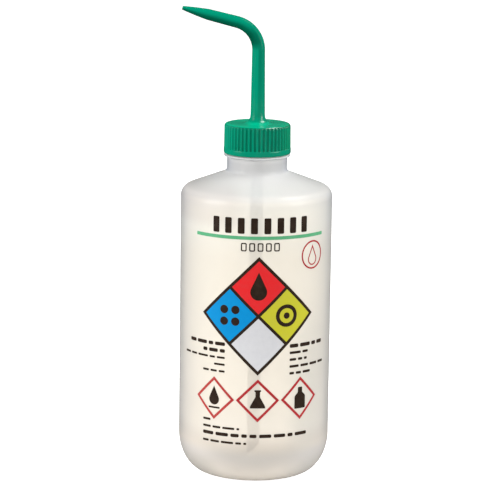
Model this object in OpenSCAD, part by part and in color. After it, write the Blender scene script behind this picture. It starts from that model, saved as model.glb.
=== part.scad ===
// Laboratory wash bottle, 500 mL, narrow mouth: a blow-moulded translucent
// bottle, a green screw closure moulded in one piece with its stem and bent
// spout, a draw tube that hangs in the closure, and six printed ink films.
// Frame: origin at the centre of the standing ring, +Z up the bottle axis,
// the printed face towards -Y, the spout towards -X. Millimetres.
// Name endings: _d diameter, _r radius, _t thickness, _h height (or half a
// diagonal), _w width, _l length, _a angle, _z height above the standing ring,
// _s distance round the wall from the front, positive towards +X.

/* [Bottle] */
// Outside diameter of the straight wall
body_d = 75; // [70:0.5:80]
// Thickness of the straight wall
wall_t = 1.3; // [1:0.1:1.8]
// Height of the top of the straight wall
wall_top = 139.1; // [134:0.5:141]
// Height of the rounded heel
heel_h = 19; // [16:0.5:22]
// Outside diameter of the standing ring
ring_d = 50.8; // [46:0.5:56]
// Depth of the hollow under the base
push_up = 3; // [2:0.25:4]
// Radius of the rounded shoulder edge
shoulder_r = 5.4; // [4:0.2:7]
// Slope of the shoulder cone, in degrees above level
shoulder_a = 21; // [20:0.2:24]
// Radius of the fillet between shoulder and neck
neck_fillet = 2.4; // [1.6:0.2:3]

/* [Neck] */
// Outside diameter of the plain neck
neck_d = 29.7; // [29:0.1:31]
// Outside diameter of the bead below the closure
bead_d = 32.8; // [32:0.1:34]
// Height of the underside of the bead
bead_z = 159; // [158:0.1:159.2]
// Thickness of the bead
bead_h = 0.9; // [0.8:0.1:1.4]
// Height of the mouth
mouth_z = 172.4; // [171.5:0.1:172.5]
// Inside diameter of the mouth
mouth_d = 21.6; // [21:0.1:22]

/* [Thread] */
// Root diameter of the neck thread
thread_root_d = 25.2; // [25:0.1:25.4]
// Crest diameter of the neck thread
thread_crest_d = 27.4; // [27.2:0.1:27.6]
// Rise of one full turn
pitch = 4.23; // [4:0.01:4.5]
// Number of turns
turns = 1.5; // [1:0.25:1.5]

/* [Closure] */
// Outside diameter of the smooth lower band
band_d = 33.2; // [32.8:0.1:34]
// Outside diameter over the ribs at the lower end
rib_d = 33; // [32.6:0.1:33.6]
// Outside diameter over the ribs at the upper end
rib_top_d = 32.7; // [32.4:0.1:33.4]
// Height of the underside of the skirt
skirt_z = 160.3; // [160.2:0.1:160.6]
// Height of the top of the smooth band
band_top = 162.9; // [162:0.1:164]
// Height of the top face
cap_top = 175.1; // [174.6:0.1:175.6]
// Number of grooves round the skirt
grooves = 50; // [40:1:54]
// Radius of the rounded edge of the top face
cap_round = 1.4; // [1:0.1:2]
// Radius of the fillet round the foot of the stem
stem_fillet = 4; // [2:0.1:5]

/* [Stem and spout] */
// Diameter of the stem at its foot
stem_d = 7.2; // [6.4:0.1:7.6]
// Diameter of the tube round the bend
bend_d = 6.3; // [5.6:0.1:6.6]
// Centreline radius of the bend
bend_r = 14; // [13:0.2:18]
// Height of the lower end of the bend
bend_z = 211.3; // [205:0.1:215]
// Rise of the spout above level, in degrees
spout_a = 13.8; // [5:0.2:20]
// Diameter of the spout where its tapered tip starts
spout_d = 5.4; // [5:0.1:6]
// Length of the spout from the end of the bend to the tip
spout_l = 27.7; // [22:0.1:30]
// Length of the tapered tip
tip_l = 12.9; // [10:0.1:16]
// Outside diameter of the tip
tip_d = 1.9; // [1.6:0.1:2.4]
// Diameter of the hole in the tip
orifice_d = 1; // [0.8:0.1:1.2]

/* [Draw tube] */
// Outside diameter of the draw tube
tube_d = 6.4; // [6:0.1:6.8]
// Inside diameter of the draw tube
tube_bore = 4.4; // [4:0.1:4.6]
// Height of the lowest point of the slanted lower end
tube_foot = 7; // [5:0.5:20]
// Angle of the cut across the lower end
tube_cut = 40; // [0:5:45]

/* [Print] */
// Thickness of each ink film
ink_t = 0.08; // [0.05:0.01:0.1]
// Height of the centre of the four-colour diamond
sign_z = 85.7; // [80:0.1:90]
// Half the diagonal of the four-colour diamond
sign_h = 29.5; // [26:0.1:30]
// Width of the frame and cross lines of the four-colour diamond
sign_line = 1.5; // [1:0.1:2]
// Distance of the print's centre line round from the front
print_s = 1.7; // [0:0.1:3]
// Height of the centres of the three small diamonds
mark_z = 43.5; // [42:0.1:45]
// Half the diagonal of a small diamond
mark_h = 10.8; // [9:0.1:10.8]
// Width of a small diamond's outline, measured through its corners
mark_line = 1.8; // [1:0.1:2.2]
// Distance round the wall from one small diamond to the next
mark_pitch = 22.4; // [22:0.1:23]
// Height of the green line
line_z = 124.4; // [123:0.1:125]

/* [Hidden] */
$fn = 96;

over = 1;                       // how far a cutter runs past what it cuts

// Bottle
body_r = body_d / 2;
inner_r = body_r - wall_t;
ring_r = ring_d / 2;
floor_t = 1.5;                  // thickness of the base
dish_drop = 0.35;               // fall of the base hollow from its centre to its first edge
heel_power = 1.9;               // exponent of the heel's superellipse
neck_r = neck_d / 2;
neck_bore_r = neck_r - 1.9;
bead_r = bead_d / 2;
bead_top = bead_z + bead_h;
bead_edge = 0.3;                // chamfer of the bead
mouth_r = mouth_d / 2;
mouth_edge = 0.4;               // chamfer round the outside of the mouth
mouth_dip = 0.01;               // inner edge of the mouth below its outer edge

// Threads
root_r = thread_root_d / 2;
crest_r = thread_crest_d / 2;
thread_z = mouth_z - 2 - pitch * turns;     // middle of the thread's lower end
thread_sink = 0.25;             // how far a ridge is set into its wall
thread_base_w = 2.5;            // height of a ridge along the axis, at its base
thread_tip_w = 1;               // the same at its crest
steps_per_turn = 30;
runout_steps = 3;               // steps over which a ridge grows at each end
runout_start = 0.08;            // share of full size at the very end

// Closure
cap_root_r = crest_r + 0.4;                 // inside of the skirt
cap_crest_r = root_r + 0.35;                // crest of the closure's thread
cap_thread_z = thread_z - pitch / 2 - 0.3;
skirt_round = 0.8;                          // rounded lower edge of the skirt
groove_r = 0.72;
groove_s = rib_d / 2 + 0.12;                // groove centre from the axis
groove_z = band_top + 0.2;
plate_z = mouth_z + 0.1;                    // underside of the top plate
plate_lap = 0.2;                            // how far plug and socket enter the plate
plug_r = mouth_r - 0.08;
plug_t = 1;
plug_h = 3;
fit_gap = 0.05;                             // radial gap of a running fit
socket_r = tube_d / 2 + 1.7;
socket_z = 163;
socket_h = plate_z - socket_z;
tube_top = plate_z - 0.2;
tube_l = tube_top - tube_foot;

// Stem and spout
stem_bore_r = 1.7;
turn_a = 90 - spout_a;                      // angle the bend turns through
joint_lap = 0.3;                            // spout start inside the end of the bend
joint_inset = 0.05;                         // spout start within the bend's wall
orifice_l = 1.5;

green = [0.00, 0.56, 0.42];
milk = [0.93, 0.92, 0.89];
ink_black = [0.17, 0.13, 0.12];
ink_red = [0.86, 0.17, 0.20];
ink_blue = [0.00, 0.61, 0.93];
ink_yellow = [0.84, 0.83, 0.12];
ink_white = [0.87, 0.87, 0.87];
ink_green = [0.38, 0.72, 0.53];

// ---- profiles: points are [radius, z] --------------------------------------

function reversed(list) = [for (i = [len(list) - 1:-1:0]) list[i]];

// Heel curve from the standing ring up to the wall
function heel(start_r, start_z, width, height, steps = 12) =
    [for (i = [0:steps])
        [start_r + width * pow(sin(90 * i / steps), 2 / heel_power),
         start_z + height * (1 - pow(cos(90 * i / steps), 2 / heel_power))]];

function arc(centre_r, centre_z, radius, from, to, steps) =
    [for (i = [0:steps]) let (angle = from + (to - from) * i / steps)
        [centre_r + radius * cos(angle), centre_z + radius * sin(angle)]];

// Rounded edge, cone and neck fillet, from a wall of radius side_r that is
// straight up to side_top, to a neck of radius throat_r
function shoulder(side_r, throat_r, edge_r, fillet_r, side_top) =
    let (half = (90 - shoulder_a) / 2,
         cone_low = side_top + edge_r * tan(half),      // wall line meets cone
         cone_high = cone_low + (side_r - throat_r) * tan(shoulder_a),
         fillet_top = cone_high + fillet_r * tan(half))
    concat(arc(side_r - edge_r, side_top, edge_r, 0, 90 - shoulder_a, 8),
           arc(throat_r + fillet_r, fillet_top, fillet_r, 270 - shoulder_a, 180, 5));

// Outside of the bottle, from the centre of the base to the mouth
outer_line = concat(
    [[0, push_up], [ring_r - 8, push_up - dish_drop], [ring_r - 5, push_up - 1.2],
     [ring_r - 3, 0.6], [ring_r - 2, 0]],
    heel(ring_r, 0, body_r - ring_r, heel_h),
    shoulder(body_r, neck_r, shoulder_r, neck_fillet, wall_top),
    [[neck_r, bead_z], [bead_r - bead_edge, bead_z], [bead_r, bead_z + bead_edge],
     [bead_r, bead_top - bead_edge], [bead_r - bead_edge, bead_top],
     [root_r, bead_top], [root_r, mouth_z - mouth_edge], [root_r - mouth_edge, mouth_z]]);

// Inside of the bottle, in the same direction
inner_line = concat(
    [[0, push_up + floor_t], [ring_r - 8, push_up - dish_drop + floor_t], [ring_r - 4, 1.7]],
    heel(ring_r - 1, floor_t, inner_r - ring_r + 1, heel_h - 1),
    shoulder(inner_r, neck_bore_r, shoulder_r - 1, neck_fillet + 1, wall_top - 0.6),
    [[neck_bore_r, bead_z - 1], [mouth_r, bead_z + 1.2], [mouth_r, mouth_z - mouth_dip]]);

// Skirt, top face, fillet and straight stem, as one turned outline
cap_line = concat(
    [[cap_root_r, skirt_z]],
    arc(band_d / 2 - skirt_round, skirt_z + skirt_round, skirt_round, -90, 0, 6),
    [[band_d / 2, band_top], [rib_d / 2, band_top]],
    arc(rib_top_d / 2 - cap_round, cap_top - cap_round, cap_round, 0, 90, 8),
    arc(stem_d / 2 + stem_fillet, cap_top + stem_fillet, stem_fillet, 270, 180, 8),
    [[bend_d / 2, bend_z], [stem_bore_r, bend_z], [stem_bore_r, plate_z],
     [cap_root_r, plate_z]]);

// ---- screw threads ---------------------------------------------------------

// Right-hand ridge of trapezoid section, carried up a helix from start_z, its
// size running out at both ends. It points inwards if tip_r is under base_r.
module ridge(base_r, tip_r, start_z) {
    steps = round(turns * steps_per_turn);
    function growth(i) = min(1, min(i, steps - i) / runout_steps + runout_start);
    function corner(radius, angle, z) = [radius * cos(angle), radius * sin(angle), z];

    // four corners at each step: base and tip below, tip and base above
    points = [for (i = [0:steps])
        let (angle = 360 * turns * i / steps,
             z = start_z + pitch * turns * i / steps,
             end_r = base_r + (tip_r - base_r) * growth(i),
             half_tip = thread_tip_w * growth(i) / 2,
             half_base = thread_base_w / 2)
        each [corner(base_r, angle, z - half_base), corner(end_r, angle, z - half_tip),
              corner(end_r, angle, z + half_tip), corner(base_r, angle, z + half_base)]];

    inward = tip_r < base_r;    // turns every face the other way round
    sides = [for (i = [0:steps - 1], k = [0:3])
        let (here = 4 * i + k, next = 4 * i + (k + 1) % 4,
             next_up = next + 4, here_up = here + 4)
        each inward ? [[here, next_up, next], [here, here_up, next_up]]
                    : [[here, next, next_up], [here, next_up, here_up]]];
    first = [0, 1, 2, 3];
    last = [for (k = first) 4 * steps + k];
    ends = inward ? [first, reversed(last)] : [reversed(first), last];
    polyhedron(points = points, faces = concat(sides, ends), convexity = 6);
}

// ---- bottle ----------------------------------------------------------------

module bottle() color(milk) {
    union() {
        rotate_extrude() polygon(concat(outer_line, reversed(inner_line)));
        ridge(root_r - thread_sink, crest_r, thread_z);
    }
}

// ---- closure with stem and spout -------------------------------------------

module grooved_cap() difference() {
    rotate_extrude() polygon(cap_line);
    for (i = [0:grooves - 1]) rotate([0, 0, 360 / grooves * i])
        translate([groove_s, 0, groove_z])
            cylinder(r = groove_r, h = cap_top - band_top + 2 * over, $fn = 24);
}

// Bend between stem and spout
module bend() translate([-bend_r, 0, bend_z]) rotate([90, 0, 0])
    rotate_extrude(angle = turn_a) translate([bend_r, 0]) difference() {
        circle(d = bend_d, $fn = 48);
        circle(r = stem_bore_r, $fn = 48);
    }

// Spout and tapered tip, turned as one outline about their own axis. It starts
// just inside the end of the bend, within the thickness of the bend's wall
module spout() {
    start_r = bend_d / 2 - joint_inset;
    bore_r = stem_bore_r + joint_inset;
    taper_z = spout_l - tip_l;
    translate([-bend_r, 0, bend_z]) rotate([0, -turn_a, 0])
        translate([bend_r, 0, 0]) rotate_extrude()
            polygon([[bore_r, -joint_lap], [start_r, -joint_lap], [start_r, joint_lap],
                     [spout_d / 2, taper_z], [tip_d / 2, spout_l], [orifice_d / 2, spout_l],
                     [orifice_d / 2, spout_l - orifice_l], [bore_r, taper_z]]);
}

// Plug that seals inside the mouth
module plug() translate([0, 0, plate_z - plug_h]) difference() {
    cylinder(r = plug_r, h = plug_h + plate_lap);
    translate([0, 0, -over]) cylinder(r = plug_r - plug_t, h = plug_h + 2 * over);
}

// Socket that holds the draw tube
module socket() translate([0, 0, socket_z]) difference() {
    cylinder(r = socket_r, h = socket_h + plate_lap);
    translate([0, 0, -over]) cylinder(r = tube_d / 2 + fit_gap, h = socket_h + over);
    cylinder(r = stem_bore_r, h = socket_h + 2 * over);
}

module closure() color(green) {
    union() {
        grooved_cap();
        bend();
        spout();
        plug();
        socket();
        ridge(cap_root_r + thread_sink, cap_crest_r, cap_thread_z);
    }
}

// ---- draw tube -------------------------------------------------------------

module draw_tube() color(milk) {
    difference() {
        translate([0, 0, tube_foot]) cylinder(d = tube_d, h = tube_l);
        translate([0, 0, tube_foot - over]) cylinder(d = tube_bore, h = tube_l + 2 * over);
        // slanted lower end, lowest on the -X side
        translate([-tube_d / 2, 0, tube_foot]) rotate([0, -tube_cut, 0])
            translate([-10, -10, -20]) cube([30, 20, 20]);
    }
}

// ---- print shapes: points are [distance round the wall from the front, z] ---

function wrapped(points) =
    [for (p = points) [body_r * sin(p[0] / body_r * 180 / PI), p[1]]];

// Points from one corner up to, but not including, the next
function edge(from, to, steps) =
    [for (i = [0:steps - 1]) from + (to - from) * i / steps];

function diamond(mid, z, half, steps = 8) =
    let (top = [mid, z + half], left = [mid - half, z],
         bottom = [mid, z - half], right = [mid + half, z])
    concat(edge(top, left, steps), edge(left, bottom, steps),
           edge(bottom, right, steps), edge(right, top, steps));

function disc(mid, z, radius, steps = 32) =
    [for (i = [0:steps - 1])
        [mid + radius * cos(360 * i / steps), z + radius * sin(360 * i / steps)]];

// Bar from left to right, centred on height z
function bar(left, right, z, height) =
    [[left, z - height / 2], [right, z - height / 2],
     [right, z + height / 2], [left, z + height / 2]];

// Drop with a round belly centred on (mid, z) and its point straight above
drop_reach = 2.4;               // height of the point, in belly radii
function drop(mid, z, radius, steps = 20) =
    let (side = acos(1 / drop_reach))
    concat([[mid, z + drop_reach * radius]],
        [for (i = [0:steps]) let (angle = 90 + side + (360 - 2 * side) * i / steps)
            [mid + radius * cos(angle), z + radius * sin(angle)]]);

// Symmetric outline of a given height standing on z, from its right half
function symmetric(half, mid, z, height) = concat(
    [for (p = half) [mid + p[0] * height, z + p[1] * height]],
    [for (p = reversed(half)) [mid - p[0] * height, z + p[1] * height]]);

// Right halves, upwards: [half width, height], as shares of the full height
flask_half = [[0.42, 0], [0.4, 0.12], [0.12, 0.62], [0.12, 0.9], [0.18, 1]];
jar_half = [[0.3, 0], [0.3, 0.58], [0.12, 0.76], [0.12, 1]];

// Straight prism through the front of the wall with a print shape's outline
module stamp(points, holes = []) rotate([90, 0, 0])
    linear_extrude(height = body_r + 2 * over) difference() {
        polygon(wrapped(points));
        for (hole = holes) polygon(wrapped(hole));
    }

// Film on the wall, between two heights, where the children reach
module film(bottom, top) intersection() {
    translate([0, 0, bottom]) difference() {
        cylinder(r = body_r + ink_t, h = top - bottom);
        translate([0, 0, -over]) cylinder(r = body_r, h = top - bottom + 2 * over);
    }
    union() children();
}

// Row of equal blocks, or of outlines if a line width is given
module row(left, right, z, height, count, gap, line = 0) {
    step = (right - left + gap) / count;
    for (i = [0:count - 1]) {
        start = left + step * i;
        end = start + step - gap;
        stamp(bar(start, end, z, height),
              line > 0 ? [bar(start + line, end - line, z, height - 2 * line)] : []);
    }
}

// ---- print layout ----------------------------------------------------------

// Four-colour diamond: side and half diagonal of a quarter, and the distance
// from the sign's centre to a quarter's centre
quarter_side = sign_h * sqrt(2) / 2 - 1.5 * sign_line;
quarter_h = quarter_side / sqrt(2);
quarter_c = (quarter_side + sign_line) / sqrt(2);
left_s = print_s - quarter_c;
right_s = print_s + quarter_c;
top_quarter = diamond(print_s, sign_z + quarter_c, quarter_h);
bottom_quarter = diamond(print_s, sign_z - quarter_c, quarter_h);
left_quarter = diamond(left_s, sign_z, quarter_h);
right_quarter = diamond(right_s, sign_z, quarter_h);

// Marks in the quarters
top_drop = drop(print_s, sign_z + quarter_c - 2.2, 4.1);
dot_offset = 2.9;
left_dots = [for (i = [-1, 1], j = [-1, 1])
    disc(left_s + dot_offset * i, sign_z + dot_offset * j, 2.1, 20)];
ring_outside = disc(right_s, sign_z, 5.6);
ring_inside = disc(right_s, sign_z, 3.7);
ring_dot = disc(right_s, sign_z, 1.6, 20);

// Centre of a small diamond: -1 left, 0 middle, 1 right
function mark_s(i) = print_s + 0.2 + mark_pitch * i;

// Rows of bars beside the four-colour diamond, downwards: [length, height]
row_pitch = 3.43;
left_rows_end = -14.8;
left_rows_z = 71;
left_rows = [[21.9, 2], [12.6, 2], [26.5, 1.2], [5.9, 1.2], [12.6, 1.2]];
right_rows_start = 17.9;
right_rows_z = 70.25;
right_rows = [[21.7, 2], [11, 1.4], [10.4, 1.4], [23.2, 1.4], [12.7, 1.4]];

// Rows of bars below the small diamonds: [length, z, height]
low_rows_start = -27;
low_rows = [[4.5, 32.4, 1.3], [20, 28.9, 1.3], [55.6, 25.6, 2], [23.6, 21.7, 1.3]];

// Red ring with a drop in it, at the upper right
badge_s = 31;
badge_z = 114.5;
badge_drop_z = badge_z - 2.2;

// ---- print -----------------------------------------------------------------

module bar_rows() {
    for (i = [0:len(left_rows) - 1])
        stamp(bar(left_rows_end - left_rows[i][0], left_rows_end,
                  left_rows_z - row_pitch * i, left_rows[i][1]));
    for (i = [0:len(right_rows) - 1])
        stamp(bar(right_rows_start, right_rows_start + right_rows[i][0],
                  right_rows_z - row_pitch * i, right_rows[i][1]));
    for (r = low_rows)
        stamp(bar(low_rows_start, low_rows_start + r[0], r[1], r[2]));
}

// Drop over a bar, flask and jar in the small diamonds
module small_marks() {
    stamp(drop(mark_s(-1), mark_z - 0.6, 2.8));
    stamp(bar(mark_s(-1) - 3.2, mark_s(-1) + 3.2, mark_z - 4.8, 0.9));
    stamp(symmetric(flask_half, mark_s(0), mark_z - 3.8, 9.2));
    stamp(symmetric(jar_half, mark_s(1), mark_z - 5.2, 10.8));
}

module print_black() color(ink_black) film(18, 136) {
    // frame and cross lines of the four-colour diamond
    stamp(diamond(print_s, sign_z, sign_h, 16),
          [top_quarter, bottom_quarter, left_quarter, right_quarter]);
    stamp(top_drop);
    for (dot = left_dots) stamp(dot);
    stamp(ring_outside, [ring_inside]);
    stamp(ring_dot);
    // heading as plain blocks, sub-heading as plain frames
    row(left = -21.9, right = 26.8, z = 130.3, height = 7.8, count = 8, gap = 3.1);
    row(left = -7.3, right = 11.8, z = 119.9, height = 4.2, count = 5, gap = 1.2, line = 0.5);
    bar_rows();
    small_marks();
}

module print_red() color(ink_red) film(30, 123) {
    stamp(top_quarter, [top_drop]);
    for (i = [-1:1])
        stamp(diamond(mark_s(i), mark_z, mark_h),
              [diamond(mark_s(i), mark_z, mark_h - mark_line)]);
    stamp(disc(badge_s, badge_z, 7.1, 48), [disc(badge_s, badge_z, 6.3, 48)]);
    stamp(drop(badge_s, badge_drop_z, 3), [drop(badge_s, badge_drop_z, 2.4)]);
}

module print_blue() color(ink_blue) film(70, 102)
    stamp(left_quarter, left_dots);

module print_yellow() color(ink_yellow) film(70, 102) {
    stamp(right_quarter, [ring_outside]);
    stamp(ring_inside, [ring_dot]);
}

module print_white() color(ink_white) film(55, 88)
    stamp(bottom_quarter);

module print_green() color(ink_green) film(120, 128)
    stamp(bar(left = -32.6, right = 38.4, z = line_z, height = 1.7));

bottle();
closure();
draw_tube();
print_black();
print_red();
print_blue();
print_yellow();
print_white();
print_green();
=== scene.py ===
import math

import bmesh
import bpy
from mathutils import Matrix, Vector

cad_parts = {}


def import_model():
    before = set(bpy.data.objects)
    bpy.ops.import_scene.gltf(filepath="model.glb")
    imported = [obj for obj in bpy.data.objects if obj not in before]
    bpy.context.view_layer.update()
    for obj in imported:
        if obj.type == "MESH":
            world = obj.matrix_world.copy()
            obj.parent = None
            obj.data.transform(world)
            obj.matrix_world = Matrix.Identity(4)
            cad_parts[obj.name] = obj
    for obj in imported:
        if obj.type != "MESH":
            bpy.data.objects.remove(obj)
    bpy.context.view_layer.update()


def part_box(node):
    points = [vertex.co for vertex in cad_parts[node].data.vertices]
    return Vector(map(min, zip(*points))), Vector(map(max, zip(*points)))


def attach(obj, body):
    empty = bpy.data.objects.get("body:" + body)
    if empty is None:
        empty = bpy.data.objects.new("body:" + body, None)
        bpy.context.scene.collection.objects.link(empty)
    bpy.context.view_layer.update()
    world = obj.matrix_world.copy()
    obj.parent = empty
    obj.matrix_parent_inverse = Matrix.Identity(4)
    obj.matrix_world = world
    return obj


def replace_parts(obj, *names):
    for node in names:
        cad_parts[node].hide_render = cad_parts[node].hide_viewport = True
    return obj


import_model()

MM = 0.001
TAU = math.tau
COLLECTION = bpy.context.scene.collection

# ---------------------------------------------------------------------------
# Sizes. Endings: _R radius, _Z height above the table, _H height, _L length.
# ---------------------------------------------------------------------------
cad_low, cad_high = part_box("bottle")
BODY_R = cad_high.x / MM
MOUTH_Z = cad_high.z / MM
cad_low, cad_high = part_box("closure")
SKIRT_Z = cad_low.z / MM
BAND_R = cad_high.x / MM
cad_low, cad_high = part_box("draw_tube")
TUBE_R = cad_high.x / MM
TUBE_FOOT_Z = cad_low.z / MM
TUBE_TOP_Z = cad_high.z / MM

# body
WALL = 1.3
WALL_TOP_Z = 139.1
BASE_THICKNESS = 1.5
HEEL_H = 19.0
HEEL_POWER = 1.9               # exponent of the heel's superellipse
RING_R = 25.4                  # outer edge of the ring the bottle stands on
RING_IN_R = 24.5
HOLLOW_R = 23.6
PUSH_UP = 3.0                  # rise of the base at its centre
HOLLOW_SAG = 0.12
SHOULDER_R = 5.4               # rounding from wall to shoulder
SHOULDER_SLOPE = 21.0          # degrees above level

# neck, bead and thread
NECK_R = 14.85
NECK_WALL = 1.9
NECK_FILLET = 2.4
NECK_FOOT_Z = 153.0
NECK_CORNER = 0.25             # rounding under the bead
BEAD_R = 16.4
BEAD_Z = 159.0
BEAD_H = 0.9
BEAD_ROUND = 0.4
MOUTH_R = 10.8
LIP_OUT, LIP_IN = 0.5, 0.3     # lip roundings
ROOT_R = 12.6
CREST_R = 13.7
PITCH = 4.23
TURNS = 1.5
THREAD_Z = MOUTH_Z - 2.0 - PITCH * TURNS
THREAD_FLAT = 0.5              # half width of the crest
THREAD_FLANK = 0.75
THREAD_RUNOUT = 0.5            # radians past each end

# cap
BAND_TOP_Z = 162.9
BAND_EDGE = 0.12
SKIRT_ROUND = 0.8
RIB_R = 16.5
RIB_TOP_R = 16.35
CAP_TOP_Z = 175.1
CAP_ROUND = 1.4
GROOVES = 50
GROOVE_R = 0.72
GROOVE_OUT = 0.12              # centre of a groove's arc, outside the ribs
GROOVE_SOFT = 0.10             # softening of each rib's edge
CAP_ROOT_R = CREST_R + 0.4
CAP_CREST_R = ROOT_R + 0.35
CAP_THREAD_Z = THREAD_Z - PITCH / 2 - 0.3
PLATE_Z = MOUTH_Z + 0.1        # underside of the cap's top
PLUG_R = MOUTH_R - 0.08
BOSS_R = TUBE_R + 1.7
BOSS_Z = 163.0
SOCKET_R = TUBE_R + 0.05

# stem, bend and spout; distances run up the stem and on along the spout
STEM_R = 3.6
STEM_FILLET = 4.0
BEND_Z = 211.3
BEND_R = 14.0
BEND_TUBE_R = 3.18
BEND_ANGLE = math.radians(76.2)
SPOUT_FOOT_R = 2.95
SPOUT_R = 2.72
SPOUT_L = 27.7
TIP_L = 12.9
TIP_R = 0.95
TIP_ROUND = 0.18
TIP_HOLLOW = 0.055             # how far the taper dips below straight
ORIFICE_R = 0.5
ORIFICE_L = 1.5
BORE_R = 1.7
BEND_END = BEND_Z + BEND_R * BEND_ANGLE
TIP_END = BEND_END + SPOUT_L
TIP_FOOT = TIP_END - TIP_L

# draw tube
TUBE_BORE_R = 2.2
TUBE_CUT = math.radians(40)    # slant of the lower end

# points in each ring
BOTTLE_RING, RIB_RING, STEM_RING, TUBE_RING = 288, 500, 100, 96


# ---------------------------------------------------------------------------
# Profiles: lists of (radius, z)
# ---------------------------------------------------------------------------
def clamp(value):
    return max(0.0, min(1.0, value))


def smoothstep(value):
    value = clamp(value)
    return value * value * (3 - 2 * value)


def between(start, end, share):
    return start + (end - start) * share


def steps(start, end, count):
    """Even steps from start to end, without start itself."""
    return [start + (end - start) * i / count for i in range(1, count + 1)]


def arc(centre_r, centre_z, radius, start, end, count, skip=0):
    """Points along an arc, angles in degrees, leaving out the first `skip`."""
    angles = [math.radians(between(start, end, i / count)) for i in range(skip, count + 1)]
    return [(centre_r + radius * math.cos(angle), centre_z + radius * math.sin(angle))
            for angle in angles]


def upright(radius, start_z, end_z, count):
    return [(radius, z) for z in steps(start_z, end_z, count)]


def heel(radius, z, width, height, count):
    """Quarter superellipse from (radius, z) outward and up."""
    power = 2 / HEEL_POWER
    turns = [math.pi / 2 * i / count for i in range(count + 1)]
    return [(radius + width * math.sin(turn) ** power,
             z + height * (1 - math.cos(turn) ** power)) for turn in turns]


def shoulder(wall_r, neck_r, edge_r, fillet_r, wall_top):
    """Rounded edge, cone and neck fillet, from the wall up."""
    slope = math.radians(SHOULDER_SLOPE)
    half = (math.pi / 2 - slope) / 2
    fillet_z = (wall_top + edge_r * math.tan(half) + (wall_r - neck_r) * math.tan(slope)
                + fillet_r * math.tan(half))
    edge = arc(wall_r - edge_r, wall_top, edge_r, 0, 90 - SHOULDER_SLOPE, 16)
    fillet = arc(neck_r + fillet_r, fillet_z, fillet_r, 270 - SHOULDER_SLOPE, 180, 10)
    cone = zip(*(steps(start, end, 12) for start, end in zip(edge[-1], fillet[0])))
    return edge + list(cone)[:-1] + fillet


def nearest_pass(angle, z, foot_z):
    """Distance up from the nearest pass of the thread's centre line, and how
    far along the thread that is, from 0 to 1."""
    best = (99.0, 0.0)
    for turn in range(-1, int(TURNS) + 2):
        share = (angle + TAU * turn) / (TAU * TURNS)
        on_thread = clamp(share)
        overrun = abs(share - on_thread) * TAU * TURNS
        above = z - (foot_z + PITCH * TURNS * on_thread)
        if overrun < THREAD_RUNOUT and abs(above) < abs(best[0]):
            best = (above, share)
    return best


def threaded(rise, foot_z):
    """A ring shape that adds a thread ridge of height `rise` to the radius."""
    def shape(angle, radius, z):
        above, share = nearest_pass(angle, z, foot_z)
        flank = 1 - smoothstep((abs(above) - THREAD_FLAT) / THREAD_FLANK)
        end = smoothstep(min(share, 1 - share) * TAU * TURNS / THREAD_RUNOUT + 1.0)
        return radius + rise * (flank * end)
    return shape


# ---------------------------------------------------------------------------
# Mesh building
# ---------------------------------------------------------------------------
class Shell:
    """Rings of points stitched one after another into one closed mesh."""

    def __init__(self):
        self.mesh = bmesh.new()
        self.rings = []
        self.ring_slots = []
        self.slot = 0              # material slot for the rings being added

    def ring(self, points):
        self.rings.append([self.mesh.verts.new((x * MM, y * MM, z * MM)) for x, y, z in points])
        self.ring_slots.append(self.slot)

    def turned(self, profile, count, shape=None):
        """A ring round Z for each (radius, z). shape(angle, radius, z) may
        change the radius."""
        for radius, z in profile:
            points = []
            for i in range(count):
                angle = TAU * i / count
                reach = shape(angle, radius, z) if shape else radius
                points.append((reach * math.cos(angle), reach * math.sin(angle), z))
            self.ring(points)

    def stitch(self, first, second, slot):
        """Faces between two rings; one count may be a multiple of the other."""
        flip = len(second) > len(first)
        fine, coarse = (second, first) if flip else (first, second)
        ratio = len(fine) // len(coarse)
        middle = (ratio + 1) // 2
        faces = []
        for i, near in enumerate(fine):
            far = fine[(i + 1) % len(fine)]
            j, step = divmod(i, ratio)
            here, following = coarse[j], coarse[(j + 1) % len(coarse)]
            if ratio == 1:
                faces.append((near, far, following, here))
                continue
            faces.append((near, far, here if step < middle else following))
            if step == middle - 1 and following is not here:
                faces.append((far, following, here))
        for corners in faces:
            face = self.mesh.faces.new(corners[::-1] if flip else corners)
            face.material_index = slot
            face.smooth = True

    def close(self, name, materials, loop=False):
        """The finished object; `loop` also joins the last ring to the first."""
        for first, second, slot in zip(self.rings, self.rings[1:], self.ring_slots[1:]):
            self.stitch(first, second, slot)
        if loop:
            self.stitch(self.rings[-1], self.rings[0], self.ring_slots[0])
        face_outward(self.mesh)
        return finish_mesh(self.mesh, name, materials)


def face_outward(mesh):
    bmesh.ops.recalc_face_normals(mesh, faces=mesh.faces)
    if mesh.calc_volume(signed=True) < 0:
        bmesh.ops.reverse_faces(mesh, faces=mesh.faces)


def finish_mesh(mesh, name, materials, sharp=38):
    """An object from a bmesh; edges bent by `sharp` degrees or more stay hard."""
    data = bpy.data.meshes.new(name)
    for edge in mesh.edges:
        if len(edge.link_faces) == 2:
            edge.smooth = edge.calc_face_angle(0) < math.radians(sharp)
    mesh.to_mesh(data)
    mesh.free()
    for material in materials:
        data.materials.append(material)
    piece = bpy.data.objects.new(name, data)
    COLLECTION.objects.link(piece)
    return piece


# ---------------------------------------------------------------------------
# Shader nodes
# ---------------------------------------------------------------------------
def srgb(*channels):
    """Linear colour from 0-255 sRGB channels."""
    shares = [channel / 255.0 for channel in channels]
    return tuple(c / 12.92 if c <= 0.04045 else ((c + 0.055) / 1.055) ** 2.4 for c in shares)


def rgba(colour):
    """Opaque RGBA from a grey or three channels; a socket passes unchanged."""
    if isinstance(colour, (int, float)):
        return (colour, colour, colour, 1.0)
    return (*colour, 1.0) if isinstance(colour, tuple) else colour


def mm(*lengths):
    return tuple(length * MM for length in lengths)


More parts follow.
